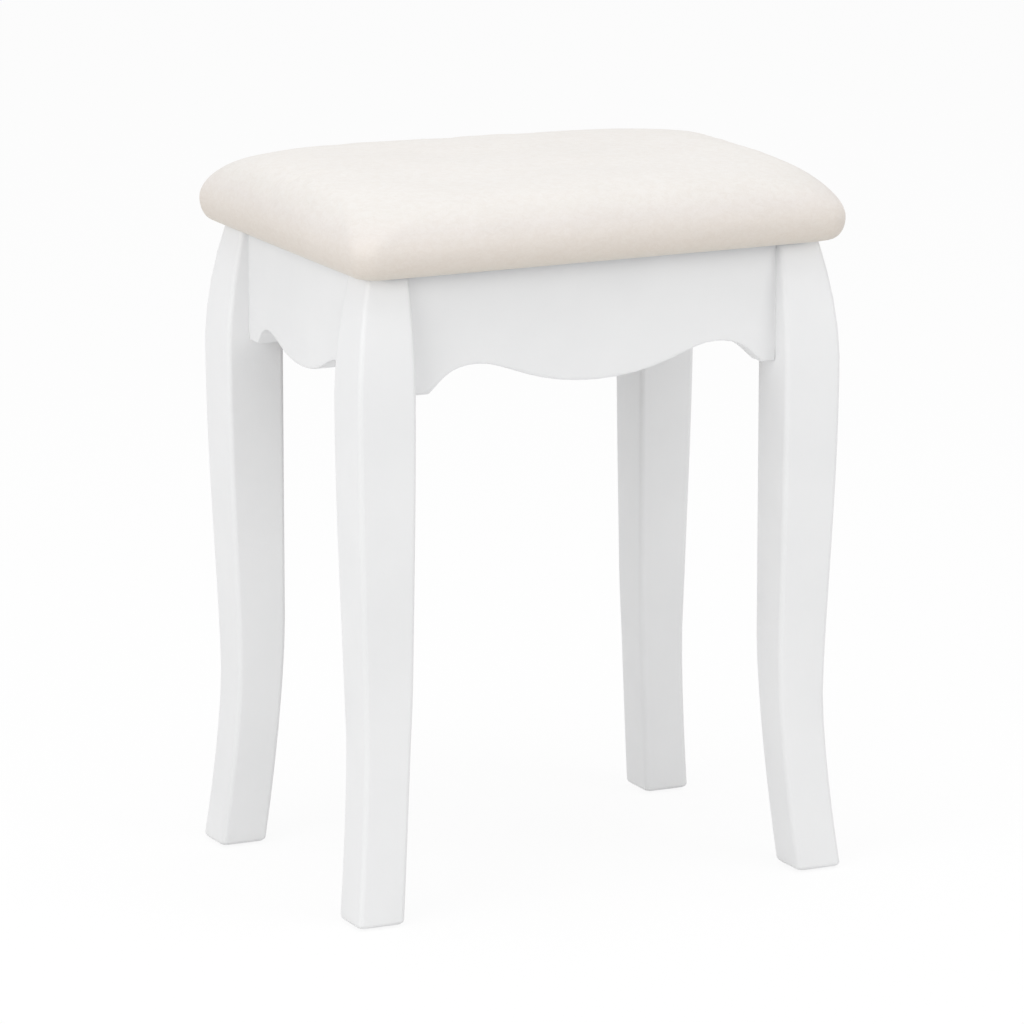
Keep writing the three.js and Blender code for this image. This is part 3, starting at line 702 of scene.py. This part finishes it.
def velvet_cover():
    """The pad's skin, open under the board inside the hem."""
    inside = START_INSIDE
    crown = START_CROWN
    levels = pad_levels(inside, ROLL_SAG)
    count = len(levels[0])
    verts = [point for level in levels for point in level]
    faces = walls(count, len(levels))
    faces += filled(verts, (len(levels) - 1) * count, GRID_X, GRID_Y)
    verts = [raised(point, inside, crown) for point in verts]
    hem_points = count * HEM_PARTS
    for k in range(hem_points):
        verts[k] = (*verts[k][:2], PAD_BOTTOM)
    cover = mesh_object("velvet_cover", verts, faces)
    swell(cover, hem_points)
    cover.modifiers.new("finer", "SUBSURF").levels = 1
    settle(cover)
    draw_flat(cover.data)
    pleat(cover.data)
    thick = cover.modifiers.new("thickness", "SOLIDIFY")
    thick.thickness = COVER_THICKNESS
    thick.offset = -1
    thick.use_even_offset = True
    finish_piece(cover, velvet_look())
    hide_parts("seat_cover")


# Foam under the velvet: it lies on the board and wraps the board's edge
FOAM_INSIDE = 3 * MM


def foam_pad(look):
    pocket = HALF_X - board_high.x - GAP
    outer = pad_levels(FOAM_INSIDE)[HEM_PARTS:]
    # It ends a step up the turn, clear of the velvet under the board
    lip = outer[1][0][2]
    outer = [level for level in outer if level[0][2] >= lip]
    levels = [ring(pocket, BOARD_CORNER, WIDEST), ring(pocket, BOARD_CORNER, lip), *outer]
    count = len(levels[0])
    verts = [point for level in levels for point in level]
    faces = walls(count, len(levels))
    faces += filled(verts, (len(levels) - 1) * count, GRID_X, GRID_Y)
    faces += [tuple(reversed(face)) for face in filled(verts, 0, GRID_X, GRID_Y)]
    verts = [raised(point, FOAM_INSIDE, CROWN_RISE) for point in verts]
    foam_piece = mesh_object("foam_pad", verts, faces)
    finish_piece(foam_piece, look)
    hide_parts("seat_foam")


# Dust cloth stapled under the board
DUST_CORNER = 16 * MM
DUST_THICKNESS = 0.35 * MM
DUST_SAG = 2.4 * MM
DUST_ARC_PARTS = 8
DUST_PARTS_X = 60
DUST_PARTS_Y = 42
# Slack folds in the sag: the scales along x and y, and the noise's third coordinate
DUST_FOLD = 0.9 * MM
DUST_FOLDS = [(9, 26, 1.7), (24, 8, 6.1)]
SCREW_HOLE_RADIUS = 2.4 * MM


def pierce(bm, middle, radius):
    """A round hole where a screw goes through a cloth grid."""
    nearest = min(bm.verts, key=lambda v: (v.co - middle).length)
    around = {v for face in nearest.link_faces for v in face.verts} - {nearest}
    for v in around:
        away = Vector((v.co.x - nearest.co.x, v.co.y - nearest.co.y, 0)).normalized()
        v.co = Vector((middle.x, middle.y, v.co.z)) + away * radius
    bmesh.ops.delete(bm, geom=[nearest], context="VERTS")


def dust_cloth(look):
    low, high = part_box("dust_cover")
    inner_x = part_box("apron_right")[0].x
    inner_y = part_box("apron_back")[0].y
    z = (low.z + high.z) / 2
    inset = HALF_X - high.x
    verts = ring(inset, DUST_CORNER, z, DUST_ARC_PARTS, DUST_PARTS_X, DUST_PARTS_Y)
    faces = filled(verts, 0, DUST_ARC_PARTS + DUST_PARTS_X, DUST_ARC_PARTS + DUST_PARTS_Y)
    hung = []
    for x, y, _ in verts:
        free = max(0.0, 1 - (x / inner_x) ** 2) * max(0.0, 1 - (y / inner_y) ** 2)
        folds = sum(noise.noise(Vector((x * a, y * b, c))) for a, b, c in DUST_FOLDS)
        hung.append(Vector((x, y, z - free * (DUST_SAG + DUST_FOLD * folds))))
    sheet = mesh_object("dust_cloth", hung, faces)
    bm = bmesh.new()
    bm.from_mesh(sheet.data)
    for name in nodes:
        if name.startswith("seat_screw"):
            a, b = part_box(name)
            middle = Vector(((a.x + b.x) / 2, (a.y + b.y) / 2, z))
            pierce(bm, middle, SCREW_HOLE_RADIUS)
    bm.to_mesh(sheet.data)
    bm.free()
    thick = sheet.modifiers.new("thickness", "SOLIDIFY")
    thick.thickness = DUST_THICKNESS
    thick.offset = 0
    finish_piece(sheet, look)
    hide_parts("dust_cover")


# Staples that hold the dust cloth: a flat crown, and two short legs up through it into
# the velvet's hem. They end under the board.
STAPLE_HALF = 5 * MM
STAPLE_WIRE_RADIUS = 0.35 * MM
STAPLE_WIRE_SIDES = 6
STAPLE_PITCH = 31 * MM
STAPLE_SLIP = 3 * MM
STAPLE_TURN = math.radians(8)
STAPLE_VARIES = (40, 3.1, 90)
# The wire's path: half crowns across, and wire radii up
STAPLE_PATH = [
    (-1, 4.2), (-1, 0.5), (-0.95, 0), (-0.82, -0.45),
    (0.82, -0.45), (0.95, 0), (1, 0.5), (1, 4.2),
]


def tube(path, radius, sides):
    """Vertices and faces of a closed tube along a path."""
    verts = []
    for k, point in enumerate(path):
        ahead = path[min(k + 1, len(path) - 1)] - path[max(k - 1, 0)]
        turn = ahead.to_track_quat("Z", "X")
        for n in range(sides):
            angle = 2 * math.pi * n / sides
            spoke = Vector((radius * math.cos(angle), radius * math.sin(angle), 0))
            verts.append(point + turn @ spoke)
    return verts, capped(sides, len(path))


def staple_places():
    """Where each staple is, and how it is turned: along the cloth's edge, a little astray."""
    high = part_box("dust_cover")[1]
    leg_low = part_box("leg_back_right")[0]
    edge_x = (high.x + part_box("apron_right")[1].x) / 2
    edge_y = (high.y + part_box("apron_back")[1].y) / 2
    a, b, c = STAPLE_VARIES
    for along_x, edge, reach in ((True, edge_y, leg_low.x), (False, edge_x, leg_low.y)):
        count = int((2 * reach - 3 * STAPLE_HALF) / STAPLE_PITCH)
        for side in (-1, 1):
            for k in range(count + 1):
                where = (k - count / 2) * STAPLE_PITCH
                astray = noise.noise(Vector((where * a, side * b, edge * c)))
                spot = where + STAPLE_SLIP * astray
                turn = STAPLE_TURN * astray + (0 if along_x else math.pi / 2)
                yield ((spot, side * edge) if along_x else (side * edge, spot)), turn


def staples(look):
    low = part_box("dust_cover")[0].z
    verts = []
    faces = []
    for (x, y), turn in staple_places():
        across = Vector((math.cos(turn), math.sin(turn), 0)) * STAPLE_HALF
        path = [
            Vector((x, y, low)) + across * a + Vector((0, 0, up * STAPLE_WIRE_RADIUS))
            for a, up in STAPLE_PATH
        ]
        add_form(verts, faces, *tube(path, STAPLE_WIRE_RADIUS, STAPLE_WIRE_SIDES))
    rigid_piece("dust_cloth_staples", verts, faces, look)


# Hanger bolts: a coarse wood thread at the pointed end and a machine thread for the nut
BOLT_RADIUS = 3 * MM
BOLT_SIDES = 16
BOLT_STEP = 0.25 * MM
MACHINE_LENGTH = 18 * MM
MACHINE_PITCH = 1 * MM
MACHINE_DEPTH = 0.5 * MM
WOOD_LENGTH = 23 * MM
WOOD_PITCH = 2.5 * MM
WOOD_DEPTH = 0.7 * MM
BOLT_POINT = 5 * MM
BOLT_BLUNT = 0.08
BOLT_CHAMFER = 0.75 * MM


def bolt_radius(along, length, turn):
    """Radius at a distance from the point, for a thread that has turned that far."""
    if along < WOOD_LENGTH:
        pitch, depth = WOOD_PITCH, WOOD_DEPTH
    elif along > length - MACHINE_LENGTH:
        pitch, depth = MACHINE_PITCH, MACHINE_DEPTH
    else:
        return BOLT_RADIUS
    phase = (along / pitch + turn) % 1.0
    threaded = BOLT_RADIUS - depth * abs(2 * phase - 1)
    point = BOLT_RADIUS * (BOLT_BLUNT + (1 - BOLT_BLUNT) * along / BOLT_POINT)
    end = BOLT_RADIUS - BOLT_CHAMFER + max(0.0, length - along)
    return min(threaded, point, end)


def hanger_bolt(name, look):
    low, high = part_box(name)
    middle = (low + high) / 2
    outward = Vector((math.copysign(1, middle.x), math.copysign(1, middle.y), 0)).normalized()
    along = coordinates(nodes[name].data) @ np.array(outward)
    length = float(along.max() - along.min())
    tip = middle + outward * (float(along.max()) - middle.dot(outward))
    up = Vector((0, 0, 1))
    across = outward.cross(up)
    rings = int(length / BOLT_STEP)
    verts = []
    for k in range(rings + 1):
        share = k / rings
        for n in range(BOLT_SIDES):
            turn = n / BOLT_SIDES
            angle = 2 * math.pi * turn
            spoke = across * math.cos(angle) + up * math.sin(angle)
            radius = bolt_radius(share * length, length, turn)
            verts.append(tip - outward * length * share + spoke * radius)
    faces = capped(BOLT_SIDES, rings + 1)
    piece = rigid_piece(name + "_threaded", verts, faces, look)
    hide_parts(name)


# Paint that fills the joints between aprons and legs: a concave bead up each one
JOINT_PARTS = 12
TAB_RISE = 5 * MM
# The bead's section in mm: how far from the leg, and how far behind the apron's face
BEAD = [
    (0.02, 1.2), (0.02, -0.45), (0.1, -0.22), (0.42, -0.06),
    (0.42, -0.01), (0.28, 0.0), (0.28, 1.2),
]


def painted_joints(look):
    verts = []
    faces = []
    for name in ("apron_front", "apron_back", "apron_left", "apron_right"):
        along_x = name in ("apron_front", "apron_back")
        low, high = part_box(name)
        end = high.x if along_x else high.y
        inner, outer = (low.y, high.y) if along_x else (low.x, high.x)
        middle = (inner + outer) / 2
        side = math.copysign(1, middle)
        front = abs(middle) + (outer - inner) / 2
        bottom = low.z + TAB_RISE
        for hand in (-1, 1):
            bead = []
            for k in range(JOINT_PARTS + 1):
                z = bottom + (high.z - bottom) * k / JOINT_PARTS
                for across, behind in BEAD:
                    a = hand * (end + GAP - across * MM)
                    b = side * (front - behind * MM)
                    bead.append((a, b, z) if along_x else (b, a, z))
            add_form(verts, faces, bead, capped(len(BEAD), JOINT_PARTS + 1))
    rigid_piece("painted_joints", verts, faces, look)


# Floor, world and lamps
FLOOR_RADIUS = 40
FLOOR_PARTS = 64
FLOOR_LIT = (0.8, 0.8, 0.8, 1)
FLOOR_SHOWN = (0.96, 0.96, 0.96, 1)
FLOOR_GLOW = 0.9
WORLD_LIGHT = 0.7
# Azimuth and elevation in degrees, distance and size in metres, power in watts
LAMPS = {
    "left": (-66, 20, 2.6, 1.8, 17),
    "front": (36, 22, 3.0, 2.0, 13),
    "top": (-30, 80, 2.6, 2.0, 19),
}


def in_view(tree):
    """1 for what is seen directly, in a reflection or through glass."""
    path = put(tree, "ShaderNodeLightPath")
    seen = combine(tree, "MAXIMUM", path.outputs["Is Camera Ray"], path.outputs["Is Glossy Ray"])
    return combine(tree, "MAXIMUM", seen, path.outputs["Is Transmission Ray"])


def add_floor():
    """A wide pale floor that shows white to the camera and keeps the stool's shadow. It
    is clear from below."""
    bm = bmesh.new()
    bmesh.ops.create_circle(bm, cap_ends=True, segments=FLOOR_PARTS, radius=FLOOR_RADIUS)
    mesh = bpy.data.meshes.new("floor")
    bm.to_mesh(mesh)
    bm.free()
    floor = bpy.data.objects.new("floor", mesh)
    scene.collection.objects.link(floor)
    mat = bpy.data.materials.new("floor_pale")
    tree = bare_tree(mat)
    lit = put(tree, "ShaderNodeBsdfDiffuse", {"Color": FLOOR_LIT}).outputs[0]
    shown = put(tree, "ShaderNodeBsdfDiffuse", {"Color": FLOOR_SHOWN}).outputs[0]
    white = put(tree, "ShaderNodeEmission", {"Color": (*WHITE, 1), "Strength": 1.0}).outputs[0]
    clear = put(tree, "ShaderNodeBsdfTransparent").outputs[0]
    below = put(tree, "ShaderNodeNewGeometry").outputs["Backfacing"]
    top = mix_shaders(tree, in_view(tree), lit, mix_shaders(tree, FLOOR_GLOW, shown, white))
    put(tree, "ShaderNodeOutputMaterial", {"Surface": mix_shaders(tree, below, top, clear)})
    mesh.materials.append(mat)


def add_world():
    """Soft light from all sides, and plain white behind the stool."""
    world = bpy.data.worlds.new("studio")
    scene.world = world
    tree = bare_tree(world)
    soft, white = (
        put(tree, "ShaderNodeBackground", {"Color": (*WHITE, 1), "Strength": strength}).outputs[0]
        for strength in (WORLD_LIGHT, 1.0)
    )
    shown = mix_shaders(tree, in_view(tree), soft, white)
    put(tree, "ShaderNodeOutputWorld", {"Surface": shown})


def add_lamp(name, azimuth, elevation, distance, size, power):
    data = bpy.data.lights.new(name, "AREA")
    data.shape = "DISK"
    data.size = size
    data.energy = power
    lamp = bpy.data.objects.new(name, data)
    lamp.visible_camera = False
    aim(lamp, math.radians(azimuth), math.radians(elevation), distance)


# Build
add_camera()
add_floor()
add_world()
for name, lamp in LAMPS.items():
    add_lamp(name, *lamp)

# Scales of the wood's grain along x, y and z: small along the grain, where streaks run on
GRAIN_UP = (240, 240, 14)
GRAIN_X = (14, 240, 240)
GRAIN_Y = (240, 14, 240)
BLOCK_GRAIN = (30, 160, 160)
DOWEL_GRAIN = (60, 420, 420)
PINE = [(0.52, 0.34, 0.19), (0.66, 0.47, 0.29), (0.74, 0.56, 0.36)]
BEECH = [(0.60, 0.41, 0.26), (0.70, 0.51, 0.34), (0.76, 0.58, 0.40)]
paint_up = paint_look("paint_leg", GRAIN_UP)
paint_x = paint_look("paint_long_apron", GRAIN_X)
paint_y = paint_look("paint_side_apron", GRAIN_Y)
block_fall = wood_look("pine_fall", BLOCK_GRAIN, math.radians(45), PINE)
block_rise = wood_look("pine_rise", BLOCK_GRAIN, math.radians(-45), PINE)
dowel_x = wood_look("beech_x", DOWEL_GRAIN, 0, BEECH)
dowel_y = wood_look("beech_y", DOWEL_GRAIN, math.radians(90), BEECH)
plywood = plywood_look()
felt = felt_look()
zinc = zinc_look()

shading = soft_edges()
for name, obj in nodes.items():
    if name.startswith("leg_"):
        look = paint_up
    elif name in ("apron_front", "apron_back"):
        look = paint_x
    elif name in ("apron_left", "apron_right"):
        look = paint_y
    elif name.startswith("corner_block"):
        look = block_fall if name.endswith(("front_left", "back_right")) else block_rise
    elif "_dowel_" in name:
        look = dowel_x if name.startswith(("front", "back")) else dowel_y
    elif name == "seat_board":
        look = plywood
    elif name.startswith("floor_pad"):
        look = felt
    elif name in ("seat_cover", "seat_foam", "dust_cover"):
        continue
    else:
        look = zinc
    obj.data.materials[0] = look
    smooth(obj, shading)

velvet_cover()
foam_pad(foam_look())
dust_cloth(nonwoven_look())
staples(zinc)
painted_joints(paint_up)
for name in sorted(nodes):
    if name.startswith("hanger_bolt"):
        hanger_bolt(name, zinc)

scene.view_settings.view_transform = "Standard"
